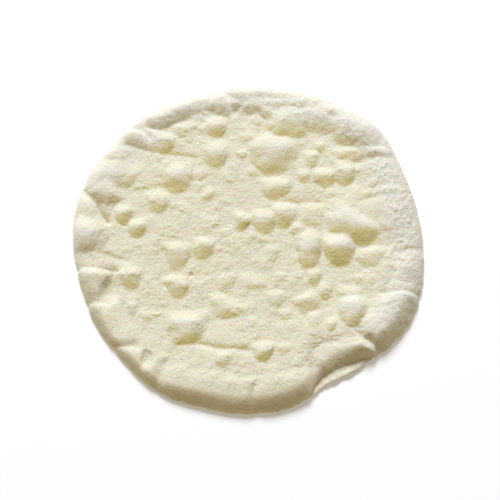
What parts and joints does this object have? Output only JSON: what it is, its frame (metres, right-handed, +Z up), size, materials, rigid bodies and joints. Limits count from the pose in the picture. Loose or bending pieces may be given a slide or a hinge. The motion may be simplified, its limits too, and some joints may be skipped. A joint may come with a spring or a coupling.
{
  "type": "pizza crust",
  "caption": "Round par-baked pizza crust of pale dough, with an uneven raised rim, folds across it, and a thin middle covered in blisters, on a flat underside.",
  "frame": {"origin": "middle of the flat underside, under the centre of the crust's length and width", "axes": "+Z up from the underside through the thin way of the crust, -Y towards the side nearest the camera in the picture, +X to the picture's right"},
  "size_m": [0.3038, 0.3154, 0.0174],
  "materials": {
    "baked_dough": "dry, matte, pale bread crust"
  },
  "bodies": {
    "root": {"crust": "baked_dough"}
  },
  "joints": []
}
